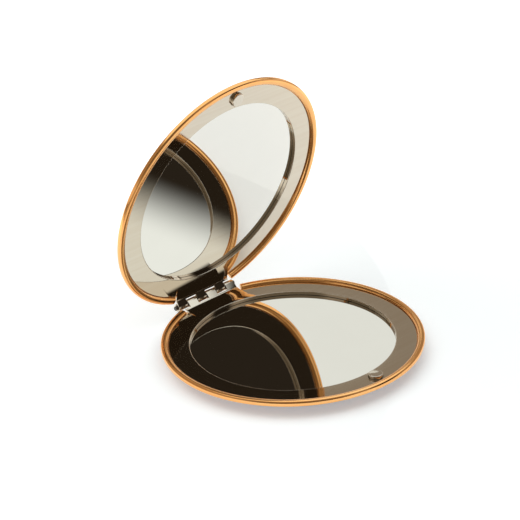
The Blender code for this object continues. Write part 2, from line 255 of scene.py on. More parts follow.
def arc(centre, radius, start, end, steps):
    """Points along an arc from the start angle to the end angle, both included."""
    angles = [start + (end - start) * i / steps for i in range(steps + 1)]
    return [(centre[0] + radius * math.cos(a), centre[1] + radius * math.sin(a)) for a in angles]


def knuckle_reach(plate):
    """Distance along the pin from the middle to the end of the outermost knuckle."""
    pitch = plate.knuckle_width + plate.knuckle_gap
    return plate.knuckles * pitch - plate.knuckle_gap / 2


def tail_left(plate):
    """The x of the tail's shoulder, on the side where the other half's knuckle is outermost."""
    return plate.knuckle_width + plate.knuckle_gap - knuckle_reach(plate) - plate.shoulder


def begin(name):
    """The object that a primitive has just made, named and open in edit mode, all selected."""
    made = bpy.context.active_object
    made.name = name
    made.data.name = name
    bpy.ops.object.transform_apply(location=True, rotation=True, scale=True)
    bpy.ops.object.mode_set(mode="EDIT")
    bpy.ops.mesh.select_all(action="SELECT")
    return made


def close_up():
    """Weld what was drawn, turn its faces outwards and leave edit mode."""
    bpy.ops.mesh.select_all(action="SELECT")
    bpy.ops.mesh.remove_doubles(threshold=MERGE)
    bpy.ops.mesh.normals_make_consistent(inside=False)
    bpy.ops.object.mode_set(mode="OBJECT")


def lathe(name, profile, steps, ring=False):
    """Draw a round piece: a circle is extruded, moved and scaled from point to point."""
    bpy.ops.object.select_all(action="DESELECT")
    radius, height = profile[0]
    fill = "NOTHING" if ring else "NGON"
    bpy.ops.mesh.primitive_circle_add(
        vertices=steps, radius=radius, fill_type=fill, location=(0.0, 0.0, height)
    )
    made = begin(name)
    for next_radius, next_height in profile[1:]:
        rise = (0.0, 0.0, next_height - height)
        bpy.ops.mesh.extrude_edges_move(TRANSFORM_OT_translate={"value": rise})
        spread = next_radius / radius
        pivot = (0.0, 0.0, next_height)
        bpy.ops.transform.resize(value=(spread, spread, 1.0), center_override=pivot)
        radius, height = next_radius, next_height
    if not ring:
        bpy.ops.mesh.edge_face_add()
    close_up()
    return made


def block(name, low, high, flare=0.0):
    """A box between two corners. A flare widens both sides towards +Y by that angle."""
    low, high = Vector(low), Vector(high)
    bpy.ops.object.select_all(action="DESELECT")
    bpy.ops.mesh.primitive_cube_add(size=1.0, location=(low + high) / 2, scale=high - low)
    made = begin(name)
    if flare:
        bpy.ops.mesh.select_all(action="DESELECT")
        bpy.ops.object.mode_set(mode="OBJECT")
        for face in made.data.polygons:
            face.select = face.normal.y > FACING
        bpy.ops.object.mode_set(mode="EDIT")
        width = high.x - low.x
        spread = 1.0 + 2.0 * (high.y - low.y) * math.tan(flare) / width
        pivot = ((low.x + high.x) / 2, high.y, (low.z + high.z) / 2)
        bpy.ops.transform.resize(value=(spread, 1.0, 1.0), center_override=pivot)
    close_up()
    return made


def select_only(made):
    """Make one object the active and only selected one."""
    bpy.ops.object.select_all(action="DESELECT")
    made.select_set(True)
    bpy.context.view_layer.objects.active = made


def combine(made, operation, tool):
    """Join the tool to a piece, or cut it away, and remove the tool."""
    step = made.modifiers.new("Combine", "BOOLEAN")
    step.operation = operation
    step.solver = "EXACT"
    step.object = tool
    select_only(made)
    bpy.ops.object.modifier_apply(modifier=step.name)
    bpy.data.objects.remove(tool, do_unlink=True)


def clear_slivers(made):
    """Collapse the very short edges that a cut leaves."""
    select_only(made)
    bpy.ops.object.mode_set(mode="EDIT")
    bpy.ops.mesh.select_all(action="SELECT")
    bpy.ops.mesh.dissolve_degenerate(threshold=SLIVER)
    bpy.ops.object.mode_set(mode="OBJECT")


def round_edges(made, width, chosen):
    """Round the sharp edges of a piece that pass the test."""
    select_only(made)
    bpy.ops.object.mode_set(mode="EDIT")
    bpy.ops.mesh.select_mode(type="EDGE")
    bpy.ops.mesh.select_all(action="DESELECT")
    bpy.ops.mesh.edges_select_sharp(sharpness=SHARP_ANGLE)
    bpy.ops.object.mode_set(mode="OBJECT")
    points = made.data.vertices
    for edge in made.data.edges:
        start, end = (points[i].co for i in edge.vertices)
        edge.select = edge.select and chosen(start) and chosen(end)
    bpy.ops.object.mode_set(mode="EDIT")
    bpy.ops.mesh.bevel(offset=width, segments=EDGE_STEPS, affect="EDGES", clamp_overlap=False)
    bpy.ops.mesh.select_mode(type="VERT")
    bpy.ops.object.mode_set(mode="OBJECT")


def shade(made, weighted=False):
    """Smooth shading between sharp edges, with flat faces kept flat where asked."""
    select_only(made)
    bpy.ops.object.shade_smooth_by_angle(angle=SMOOTH_ANGLE)
    if weighted:
        step = made.modifiers.new("Flats", "WEIGHTED_NORMAL")
        step.keep_sharp = True
        step.weight = FLATS_WEIGHT
        bpy.ops.object.modifier_apply(modifier=step.name)


def set_down(made, matrix, body, slot, material, *nodes):
    """Move a finished piece's mesh to its place, give it its material, tie it to its body and hide
    its CAD nodes.
    """
    made.matrix_world = matrix
    select_only(made)
    bpy.ops.object.transform_apply(location=True, rotation=True, scale=True)
    made.data.materials.clear()
    made.data.materials.append(material)
    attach(made, body)
    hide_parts(*nodes)


def set_down_both(made, kind, slot, material):
    """Put a piece in the base and a copy, with a mesh of its own, in the lid."""
    twin = made.copy()
    twin.data = made.data.copy()
    bpy.context.scene.collection.objects.link(twin)
    made.name = made.data.name = "base_" + kind + "_fine"
    twin.name = twin.data.name = "lid_" + kind + "_fine"
    set_down(made, base_matrix(), "base", slot, material, "base_" + kind)
    set_down(twin, lid_matrix(), "lid", slot, material, "lid_" + kind)
    return made, twin


def node(tree, kind, **values):
    """Add a shader node and set its properties and inputs by name."""
    made = tree.nodes.new(kind)
    for name, value in values.items():
        if name in made.inputs:
            made.inputs[name].default_value = value
        else:
            setattr(made, name, value)
    return made


def principled(name, metallic):
    """Start of a finish: its material, node tree and Principled shader."""
    material = bpy.data.materials.new(name)
    material.use_nodes = True
    shader = material.node_tree.nodes["Principled BSDF"]
    shader.inputs["Metallic"].default_value = metallic
    return material, material.node_tree, shader


def grain(tree, width, detail=2.0, stretch=1.0):
    """Noise with features of a width, drawn out along X by the stretch, from 0 to 1."""
    place = node(tree, "ShaderNodeTexCoord")
    spread = node(tree, "ShaderNodeMapping", Scale=(1.0 / stretch, 1.0, 1.0))
    noise = node(tree, "ShaderNodeTexNoise", Scale=1.0 / width, Detail=detail)
    tree.links.new(place.outputs["Object"], spread.inputs["Vector"])
    tree.links.new(spread.outputs["Vector"], noise.inputs["Vector"])
    even = node(tree, "ShaderNodeMapRange")
    even.inputs["From Min"].default_value = NOISE_LOW
    even.inputs["From Max"].default_value = NOISE_HIGH
    tree.links.new(noise.outputs["Fac"], even.inputs["Value"])
    return even.outputs["Result"]


def blend_colour(tree, shader, factor, first, second):
    """Base colour that runs from the first colour to the second with a factor."""
    mix = node(tree, "ShaderNodeMix", data_type="RGBA")
    mix.inputs[6].default_value = (*first, 1.0)
    mix.inputs[7].default_value = (*second, 1.0)
    tree.links.new(factor, mix.inputs["Factor"])
    tree.links.new(mix.outputs[2], shader.inputs["Base Color"])


def blend_roughness(tree, shader, factor, low, high):
    """Roughness that runs from the low value to the high one with a factor."""
    ramp = node(tree, "ShaderNodeMapRange")
    ramp.inputs["To Min"].default_value = low
    ramp.inputs["To Max"].default_value = high
    tree.links.new(factor, ramp.inputs["Value"])
    tree.links.new(ramp.outputs["Result"], shader.inputs["Roughness"])


def relief(tree, shader, height, depth):
    """Bumps of a depth on the shader's normal."""
    bump = node(tree, "ShaderNodeBump", Distance=depth)
    tree.links.new(height, bump.inputs["Height"])
    tree.links.new(bump.outputs["Normal"], shader.inputs["Normal"])


def shell_profile(shell):
    """Section of a shell, from its inside over the rim and down to its underside."""
    rim_inner_radius = CASE_RADIUS - shell.rim_width
    rim_top = RIM_HEIGHT - shell.rim_crown
    inner = (rim_inner_radius + shell.inner_round, rim_top - shell.inner_round)
    outer = (CASE_RADIUS - shell.outer_round, rim_top - shell.outer_round)
    side = (CASE_RADIUS - shell.side_round, -shell.side_drop)
    dome_top = -shell.side_drop - shell.side_round * math.cos(shell.dome_slope)
    dome_edge = side[0] + shell.side_round * math.sin(shell.dome_slope)
    dome_radius = (PLATE_FACE + dome_top) / (1 - math.cos(shell.dome_slope))
    flat_radius = dome_edge - dome_radius * math.sin(shell.dome_slope)
    dome = (flat_radius, dome_radius - PLATE_FACE)
    ledge_radius = rim_inner_radius - shell.ledge_width
    ledge = GLASS_TOP - LIP_BOTTOM - SHEET
    inside = dome_radius - shell.wall
    slope = math.asin((ledge_radius - flat_radius) / inside)
    down = -QUARTER_TURN
    profile = arc(dome, inside, down, down + slope, BEND_STEPS)
    profile += [(ledge_radius, ledge), (rim_inner_radius, ledge)]
    profile += arc(inner, shell.inner_round, HALF_TURN, QUARTER_TURN, FILLET_STEPS)
    crown_width = outer[0] - inner[0]
    for i in range(1, FILLET_STEPS):
        across = i / FILLET_STEPS
        swell = shell.rim_crown * 4 * across * (1 - across)
        profile.append((inner[0] + crown_width * across, rim_top + swell))
    profile += arc(outer, shell.outer_round, QUARTER_TURN, 0.0, FILLET_STEPS)
    profile += arc(side, shell.side_round, 0.0, down + shell.dome_slope, FILLET_STEPS)
    profile += arc(dome, dome_radius, down + shell.dome_slope, down, DOME_STEPS)[1:]
    return profile


class CompactMakeShells(bpy.types.Operator):
    """Model the gilt shells with their raised rims, open at the hinge"""

    bl_idname = "compact.make_shells"
    bl_label = "Shells"

    def execute(self, context):
        shell = context.scene.compact_shell
        plate = context.scene.compact_plate
        made = lathe("shell", shell_profile(shell), CASE_STEPS)
        left = tail_left(plate) - shell.gap_side
        right = knuckle_reach(plate) + shell.gap_side
        start = math.sqrt((CASE_RADIUS - shell.rim_width) ** 2 - right ** 2)
        low = (left, start, HINGE_Z - KNUCKLE_RADIUS - shell.notch_room)
        high = (right, CASE_RADIUS + CUT_OVERRUN, RIM_HEIGHT + CUT_OVERRUN)
        combine(made, "DIFFERENCE", block("rim_gap", low, high, shell.gap_flare))
        clear_slivers(made)
        middle, half = (left + right) / 2, (right - left) / 2
        round_edges(
            made,
            shell.edge_round,
            lambda p: p.z > -MERGE
            and abs(abs(p.x - middle) - half - (p.y - start) * math.tan(shell.gap_flare)) < MERGE,
        )
        shade(made)
        set_down_both(made, "shell", "gold_plating", gold_plating(context))
        return {"FINISHED"}


def plate_profile(plate):
    """Closed section of the plate: face, outer edge, underside and the lip's wall."""
    opening = PLATE_RADIUS - plate.frame_width
    lip = (opening + plate.lip_round, -plate.lip_round)
    edge = (PLATE_RADIUS - plate.edge_round, -plate.edge_round)
    back = opening + SHEET
    profile = arc(lip, plate.lip_round, HALF_TURN, QUARTER_TURN, FILLET_STEPS)
    profile += arc(edge, plate.edge_round, QUARTER_TURN, 0.0, FILLET_STEPS)
    profile += [(PLATE_RADIUS, -SHEET), (back, -SHEET), (back, LIP_BOTTOM), (opening, LIP_BOTTOM)]
    return profile + profile[:1]


def select_edges(made, chosen):
    """Select in edit mode the edges whose ends and middle pass the test."""
    bpy.ops.mesh.select_all(action="DESELECT")
    bpy.ops.object.mode_set(mode="OBJECT")
    points = made.data.vertices
    for edge in made.data.edges:
        start, end = (points[i].co for i in edge.vertices)
        edge.select = chosen(start) and chosen(end) and chosen((start + end) / 2)
    bpy.ops.object.mode_set(mode="EDIT")


def neck_start(plate):
    """The y where the neck leaves the plate's face."""
    return PLATE_RADIUS - plate.frame_width + SHEET + plate.neck_setback


def neck_curve(plate):
    """Radius of the neck's arc, which brings it at its full slope to the bend."""
    sine, cosine = math.sin(plate.tail_rise), math.cos(plate.tail_rise)
    turn = math.cos(plate.tail_rise - plate.neck_rise)
    offset = HINGE_Z * cosine - (HINGE_Y - neck_start(plate)) * sine
    return (KNUCKLE_RADIUS + offset + plate.tail_bend * (1 - turn)) / (cosine - turn)


def tail(plate):
    """The plate's tail: a neck that rises, bends up, and curls into knuckles round the pin."""
    sine, cosine = math.sin(plate.tail_rise), math.cos(plate.tail_rise)
    start, curve = neck_start(plate), neck_curve(plate)
    left, right = tail_left(plate), knuckle_reach(plate)
    root = start - plate.neck_seam
    pitch = 2 * (plate.knuckle_width + plate.knuckle_gap)
    ends = [right - i * pitch for i in range(plate.knuckles)]
    fingers = [(end - plate.knuckle_width, end) for end in ends]
    bpy.ops.object.select_all(action="DESELECT")
    bpy.ops.mesh.primitive_plane_add(
        size=1.0, location=((left + right) / 2, (root + start) / 2, 0.0)
    )
    bpy.context.active_object.scale = (right - left, start - root, 1.0)
    made = begin("plate_tail")
    bpy.ops.mesh.select_mode(type="EDGE")
    for low, high in fingers:
        for x in (low, high):
            bpy.ops.mesh.select_all(action="SELECT")
            bpy.ops.mesh.bisect(plane_co=(x, 0.0, 0.0), plane_no=(1.0, 0.0, 0.0))
    select_edges(made, lambda p: p.y > start - MERGE)
    across = (1.0, 0.0, 0.0)
    centre = Vector((0.0, start, curve))
    bpy.ops.mesh.spin(steps=NECK_STEPS, angle=-plate.neck_rise, center=centre, axis=across)
    tip = Vector((0.0, math.sin(plate.neck_rise), -math.cos(plate.neck_rise)))
    bend = centre + tip * (curve - plate.tail_bend)
    turn = plate.tail_rise - plate.neck_rise
    bpy.ops.mesh.spin(steps=BEND_STEPS, angle=-turn, center=bend, axis=across)
    ramp_start = bend.y + plate.tail_bend * sine
    slot_start = HINGE_Y - (KNUCKLE_RADIUS + plate.slot_room / 2) / sine
    curl_start = HINGE_Y - KNUCKLE_RADIUS * sine
    strip = (slot_start - ramp_start) / cosine
    finger = (curl_start - slot_start) / cosine
    along = Vector((0.0, cosine, sine))
    bpy.ops.mesh.extrude_edges_move(TRANSFORM_OT_translate={"value": along * strip})
    select_edges(
        made,
        lambda p: p.y > slot_start - MERGE
        and any(low - MERGE < p.x < high + MERGE for low, high in fingers),
    )
    bpy.ops.mesh.extrude_edges_move(TRANSFORM_OT_translate={"value": along * finger})
    axis = (0.0, HINGE_Y, HINGE_Z)
    bpy.ops.mesh.spin(steps=CURL_STEPS, angle=plate.curl_turn, center=axis, axis=across)
    bpy.ops.mesh.select_mode(type="VERT")
    bpy.ops.mesh.select_all(action="SELECT")
    bpy.ops.mesh.remove_doubles(threshold=MERGE)
    bpy.ops.object.mode_set(mode="OBJECT")
    wall = made.modifiers.new("Sheet", "SOLIDIFY")
    wall.thickness = SHEET
    wall.offset = -1.0
    wall.use_even_offset = True
    bpy.ops.object.modifier_apply(modifier=wall.name)
    round_edges(made, plate.cut_round, lambda p: p.y > bend.y + MERGE)
    return made


class CompactMakePlates(bpy.types.Operator):
    """Model the polished plates with their lips, magnet holes and rolled knuckles"""

    bl_idname = "compact.make_plates"
    bl_label = "Plates"

    def execute(self, context):
        plate = context.scene.compact_plate
        knuckled = tail(plate)
        made = lathe("plate", plate_profile(plate), CASE_STEPS, ring=True)
        bottom = LIP_BOTTOM - CUT_OVERRUN
        low = (tail_left(plate) + plate.neck_seam, neck_start(plate), bottom)
        high = (knuckle_reach(plate) - plate.neck_seam, PLATE_RADIUS + CUT_OVERRUN, CUT_OVERRUN)
        radius = MAGNET_RADIUS + plate.magnet_fit
        hole = lathe("magnet_hole", [(radius, CUT_OVERRUN), (radius, bottom)], SMALL_STEPS)
        hole.location.y = -MAGNET_PLACE
        combine(made, "DIFFERENCE", hole)
        combine(made, "DIFFERENCE", block("neck_room", low, high))
        combine(made, "UNION", knuckled)
        shade(made, weighted=True)
        set_down_both(made, "plate", "polished_steel", polished_steel(context))
        return {"FINISHED"}


def glass_profile(glass, curve=0.0):
    """Section of a looking glass. With a curve, its face is a hollow of that radius."""
    edge = glass.glass_edge
    reach = GLASS_RADIUS - glass.seat_width
    radii = [reach * (i + 1) / GLASS_RINGS for i in range(GLASS_RINGS)] if curve else [reach]
    sag = [(reach * reach - r * r) / (2 * curve) if curve else 0.0 for r in radii]
    face = [(r, GLASS_TOP - s) for r, s in zip(radii, sag)]
    face += [(GLASS_RADIUS - edge, GLASS_TOP), (GLASS_RADIUS, GLASS_TOP - edge)]
    face += [(GLASS_RADIUS, GLASS_BOTTOM + edge), (GLASS_RADIUS - edge, GLASS_BOTTOM)]
    return face


class CompactMakeGlasses(bpy.types.Operator):
    """Model the magnifying glass of the base and the plain glass of the lid"""

    bl_idname = "compact.make_glasses"
    bl_label = "Glasses"

    def execute(self, context):
        glass = context.scene.compact_glass
        silver = mirror_silver(context)
        dished = glass_profile(glass, glass.magnifier_curve)
        hollow = lathe("base_mirror_glass_fine", dished, CASE_STEPS)
        plain = lathe("lid_mirror_glass_fine", glass_profile(glass), CASE_STEPS)
        shade(hollow)
        shade(plain)
        slot = "mirror_silver"
        set_down(hollow, base_matrix(), "base", slot, silver, "base_mirror_glass")
        set_down(plain, lid_matrix(), "lid", slot, silver, "lid_mirror_glass")
        return {"FINISHED"}


def drum_profile(radius, edge, low, high):
    """Section of a short cylinder with rounded ends."""
    inset = radius - edge
    profile = arc((inset, high - edge), edge, QUARTER_TURN, 0.0, FILLET_STEPS)
    return profile + arc((inset, low + edge), edge, 0.0, -QUARTER_TURN, FILLET_STEPS)


class CompactMakePads(bpy.types.Operator):
    """Model the foam pads that press the glasses against the plates"""

    bl_idname = "compact.make_pads"
    bl_label = "Foam pads"

    def execute(self, context):
        edge = context.scene.compact_glass.pad_edge
        pad = lathe("pad", drum_profile(PAD_RADIUS, edge, PAD_BOTTOM, PAD_TOP), PAD_STEPS)
        shade(pad)
        for made in set_down_both(pad, "mirror_pad", "white_foam", white_foam(context)):
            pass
        return {"FINISHED"}


class CompactMakeMagnets(bpy.types.Operator):
    """Model the nickel-plated closing magnets"""

    bl_idname = "compact.make_magnets"
    bl_label = "Magnets"

    def execute(self, context):
        edge = context.scene.compact_glass.magnet_edge
        made = lathe("magnet", drum_profile(MAGNET_RADIUS, edge, -SHEET, MAGNET_TOP), SMALL_STEPS)
        made.location.y = -MAGNET_PLACE
        select_only(made)
        bpy.ops.object.transform_apply(location=True)
        shade(made)
        set_down_both(made, "magnet", "nickel_plating", nickel_plating(context))
        return {"FINISHED"}


class CompactMakePin(bpy.types.Operator):
    """Model the hinge pin"""

    bl_idname = "compact.make_pin"
    bl_label = "Hinge pin"

    def execute(self, context):
        edge = context.scene.compact_glass.pin_edge
        profile = drum_profile(PIN_RADIUS, edge, -PIN_REACH, PIN_REACH)
        made = lathe("hinge_pin_fine", profile, SMALL_STEPS)
        shade(made)
        along = Matrix.Translation((0.0, HINGE_Y, HINGE_Z)) @ Matrix.Rotation(QUARTER_TURN, 4, "Y")
        slot = "dark_steel"
        set_down(made, base_matrix() @ along, "base", slot, dark_steel(context), "hinge_pin")
        return {"FINISHED"}


def gold_plating(context):
    """Polished rose-gold plating, a little deeper and duller in large soft patches."""
    finish = context.scene.compact_finish
    material, tree, shader = principled("gold_plating", 1.0)
    blend_colour(tree, shader, grain(tree, GOLD_PATCH), finish.gold, finish.gold_deep)
    wear = grain(tree, GOLD_WEAR, detail=5.0)
    blend_roughness(tree, shader, wear, finish.gold_smooth, finish.gold_worn)
    return material


def polished_steel(context):
    """Steel sheet polished in one direction, with fine streaks along the hinge."""
    finish = context.scene.compact_finish
    material, tree, shader = principled("polished_steel", 1.0)
    warm = grain(tree, STEEL_PATCH, stretch=STEEL_STRETCH)
    blend_colour(tree, shader, warm, finish.steel, finish.steel_warm)
    streaks = grain(tree, STEEL_STREAK, detail=4.0, stretch=STEEL_STRETCH)
    blend_roughness(tree, shader, streaks, finish.steel_smooth, finish.steel_satin)
    relief(tree, shader, streaks, finish.steel_score)
    return material


def mirror_silver(context):
    """Silvered glass under a faint film."""
    finish = context.scene.compact_finish
    material, tree, shader = principled("mirror_silver", 1.0)
    blend_colour(tree, shader, grain(tree, SILVER_PATCH), finish.silver, finish.silver_dim)
    film = grain(tree, SILVER_FILM, detail=6.0)
    blend_roughness(tree, shader, film, 0.0, finish.silver_haze)
    return material


def white_foam(context):
    """Closed-cell foam, with painted shade at the bottom of its cells."""
    finish = context.scene.compact_finish
    material, tree, shader = principled("white_foam", 0.0)
    place = node(tree, "ShaderNodeTexCoord")
    cells = node(tree, "ShaderNodeTexVoronoi", Scale=1.0 / finish.foam_cell)
    tree.links.new(place.outputs["Object"], cells.inputs["Vector"])
    # Painted shade: the foam's colour darkens towards the bottom of each cell, where its bump is
    # low
    blend_colour(tree, shader, cells.outputs["Distance"], finish.foam_pit_shade, finish.foam)
    relief(tree, shader, cells.outputs["Distance"], finish.foam_relief)
    shader.inputs["Roughness"].default_value = FOAM_ROUGHNESS
    return material


def nickel_plating(context):
    """Nickel plating, worn by the magnets' meeting."""
    finish = context.scene.compact_finish
    material, tree, shader = principled("nickel_plating", 1.0)
    wear = grain(tree, NICKEL_WEAR, detail=5.0)
    blend_colour(tree, shader, wear, finish.nickel, finish.nickel_deep)
    blend_roughness(tree, shader, wear, finish.nickel_smooth, finish.nickel_worn)
    return material


def dark_steel(context):
    """Dark oxide on the pin, rubbed through in places."""
    finish = context.scene.compact_finish
    material, tree, shader = principled("dark_steel", 1.0)
    rubbed = grain(tree, PIN_WEAR, detail=6.0)
    blend_colour(tree, shader, rubbed, finish.pin, finish.pin_bare)
    blend_roughness(tree, shader, rubbed, PIN_ROUGH, PIN_SMOOTH)
    return material


class CompactStageSettings(bpy.types.PropertyGroup):
    """Floor, lights, dark surroundings and camera of the studio."""

    floor_size: length("Floor size", "Side of the square floor", 4000.0 * MM)
    floor_colour: colour("Floor", "Paint of the floor", (0.84, 0.86, 0.86))
    floor_near: colour("Floor glow", "Whitening of the floor by the compact", (0.305, 0.355, 0.39))
    glow_start: length("Glow start", "Distance where the whitening starts to rise", 45.0 * MM)
    glow_end: length("Glow end", "Distance where the whitening is full", 200.0 * MM)
    fill_side: length("Fill side", "Side of the square lamp that lights the floor", 280.0 * MM)
    fill_left: length("Fill left", "The floor's lamp, left of the compact", 40.0 * MM)
    fill_back: length("Fill back", "The floor's lamp, behind the compact", 10.0 * MM)
    fill_power: bpy.props.FloatProperty(
        name="Fill power", description="Watts of the floor's lamp", default=0.4, min=0.0
    )
    light_height: length("Light height", "Height of the softbox over the table", 150.0 * MM)
    light_width: length("Light width", "Width of the softbox", 270.0 * MM)
    light_depth: length("Light depth", "Depth of the softbox, away from the camera", 185.0 * MM)
    light_right: length("Light right", "From the middle to the softbox's right edge", 153.6 * MM)
    light_front: length("Light front", "From the middle to the softbox's near edge", 30.0 * MM)
    light_fade: length("Light fade", "Width of the softbox's fading edge", 22.7 * MM)
    light_colour: colour("Light colour", "Tone of the softbox", (0.90, 0.97, 1.0))
    light_power: bpy.props.FloatProperty(
        name="Light power", description="Brightness of the softbox", default=1.22, min=0.0
    )
    light_azimuth: angle("Light azimuth", "Where the softbox's right side faces, from +Y", 126.2)
    card_radius: length("Card radius", "Radius of the round card behind the base", 37.0 * MM)
    card_colour: colour("Card", "Colour of the round card", (0.85, 0.875, 0.835))
    room_dark: colour("Dark side", "Colour of the room on the dark side", (0.026, 0.020, 0.014))
    room_pale: colour("Room", "Colour of the room all round", (0.33, 0.285, 0.23))
    room_white: colour("Horizon", "Colour of the room close over the table", (0.85, 0.83, 0.78))
    dark_near: length("Dark near", "Where the whitening starts to end, dark side", 160.0 * MM)
    dark_far: length("Dark far", "Where the whitening has ended, dark side", 260.0 * MM)
    front_near: length("Front near", "Where the whitening starts to end, camera side", 55.0 * MM)
    front_far: length("Front far", "Where the whitening has ended, camera side", 105.0 * MM)
    room_near: colour("Camera side", "Colour of the room round the camera", (0.17, 0.145, 0.11))
    near_core: share("Near core", "How far the camera side keeps its colour, as a cosine", 0.84)
    near_edge: share("Near edge", "Where the camera side has faded to the room, as a cosine", 0.66)
    band_core: share("Band core", "Half the width of the room's dark band, as a sine", 0.12)
    band_edge: share("Band edge", "Where the dark band has faded to the room, as a sine", 0.28)
    band_reach: share("Band reach", "How far the band is dark from its middle, as a cosine", 0.85)
    band_end: share("Band end", "Where the band has ended, as a cosine", 0.7)
    white_top: share("White top", "Height at which the room starts to whiten", 0.35)
    white_low: share("White low", "Height at which the room is whitest", 0.12)
    focal_length: length("Focal length", "Lens on a 36 mm wide sensor", 138.066 * MM)


# The camera looks from the left and the front, 26 degrees down
CAMERA_PLACE = Vector((-319.978, -337.223, 255.350)) * MM
CAMERA_RIGHT = Vector((0.722094, -0.690540, -0.041644))
CAMERA_DOWN = Vector((-0.331279, -0.292314, -0.897110))
CAMERA_AHEAD = Vector((0.607317, 0.661594, -0.439840))
SENSOR_WIDTH = 36.0
CLIP_START = 10.0 * MM

# The way to the round card, which the base glass mirrors to the camera
CARD_WAY = Vector((0.615, 0.626, 0.479))

# The ways to the darker parts of the room and the floor: to the room behind the camera, over
# the floor to it, to the middle of the dark band on the right, across that band, and over the
# floor to it
NEAR_WAY = Vector((-0.562, -0.743, 0.364))
FRONT_WAY = Vector((-0.85, -0.527, 0.0))
BAND_WAY = Vector((0.592, -0.700, 0.360)).normalized()
BAND_ACROSS = Vector((-0.789, -0.456, 0.412))
DARK_WAY = Vector((0.594, -0.803, 0.0))


def glow_material(name):
    """Start of a light: an Emission shader and its output."""
    material = bpy.data.materials.new(name)
    material.use_nodes = True
    tree = material.node_tree
    tree.nodes.clear()
    output = tree.nodes.new("ShaderNodeOutputMaterial")
    glow = tree.nodes.new("ShaderNodeEmission")
    tree.links.new(glow.outputs["Emission"], output.inputs["Surface"])
    return material, tree, glow


def ramp_down(tree, value, high, low):
    """A smooth step from 0 at the high value to 1 at the low one."""
    ramp = node(tree, "ShaderNodeMapRange", interpolation_type="SMOOTHSTEP")
    ramp.inputs["From Min"].default_value = high
    ramp.inputs["From Max"].default_value = low
    tree.links.new(value, ramp.inputs["Value"])
    return ramp.outputs["Result"]


def pair(tree, operation, first, second):
    """A sum, product or the like of two values."""
    both = node(tree, "ShaderNodeMath", operation=operation)
    tree.links.new(first, both.inputs[0])
    tree.links.new(second, both.inputs[1])
    return both.outputs[0]


def product(tree, first, second):
    """Two values multiplied."""
    return pair(tree, "MULTIPLY", first, second)


def larger(tree, first, second):
    """The larger of two values."""
    return pair(tree, "MAXIMUM", first, second)


def along(tree, place, way):
    """How far a place or direction lies along a way."""
    dot = node(tree, "ShaderNodeVectorMath", operation="DOT_PRODUCT")
    dot.inputs[1].default_value = way
    tree.links.new(place, dot.inputs[0])
    return dot.outputs["Value"]


def set_floor(stage):
    """A pale table, whitened for the camera and for the reflections but not for other light."""
    bpy.ops.object.select_all(action="DESELECT")
    bpy.ops.mesh.primitive_plane_add(size=stage.floor_size)
    floor = bpy.context.active_object
    floor.name = floor.data.name = "floor"
    material, tree, shader = principled("floor", 0.0)
    shader.inputs["Base Color"].default_value = (*stage.floor_colour, 1.0)
    shader.inputs["Roughness"].default_value = 1.0
    shader.inputs["Specular IOR Level"].default_value = 0.0
    place = node(tree, "ShaderNodeTexCoord")
    away = node(tree, "ShaderNodeVectorMath", operation="LENGTH")
    tree.links.new(place.outputs["Object"], away.inputs[0])
    whiten = node(tree, "ShaderNodeMix", data_type="RGBA")
    whiten.inputs[6].default_value = (1.0, 1.0, 1.0, 1.0)
    whiten.inputs[7].default_value = (*stage.floor_near, 1.0)
    near = ramp_down(tree, away.outputs["Value"], stage.glow_end, stage.glow_start)
    tree.links.new(near, whiten.inputs["Factor"])
    tree.links.new(whiten.outputs[2], shader.inputs["Emission Color"])
    aside = along(tree, place.outputs["Object"], DARK_WAY)
    lit = ramp_down(tree, aside, stage.dark_far, stage.dark_near)
    ahead = along(tree, place.outputs["Object"], FRONT_WAY)
    lit = product(tree, lit, ramp_down(tree, ahead, stage.front_far, stage.front_near))
    path = node(tree, "ShaderNodeLightPath")
    mirrored = larger(tree, path.outputs["Is Glossy Ray"], path.outputs["Is Transmission Ray"])
    direct = node(tree, "ShaderNodeMath", operation="LESS_THAN")
    direct.inputs[1].default_value = 0.5
    tree.links.new(path.outputs["Diffuse Depth"], direct.inputs[0])
    mirrored = product(tree, product(tree, lit, mirrored), direct.outputs[0])
    shown = larger(tree, path.outputs["Is Camera Ray"], mirrored)
    tree.links.new(shown, shader.inputs["Emission Strength"])
    material.cycles.emission_sampling = "NONE"
    floor.data.materials.append(material)


def set_fill(stage):
    """A lamp over the compact for the floor and its shadow, not seen in the metal."""
    right = CAMERA_RIGHT.to_2d().normalized()
    place = -right * stage.fill_left + Vector((-right.y, right.x)) * stage.fill_back
    bpy.ops.object.light_add(type="AREA", location=(*place, stage.light_height))
    lamp = bpy.context.active_object
    lamp.name = lamp.data.name = "floor_light"
    lamp.data.size = stage.fill_side
    lamp.data.energy = stage.fill_power
    lamp.visible_camera = False
    lamp.visible_glossy = False


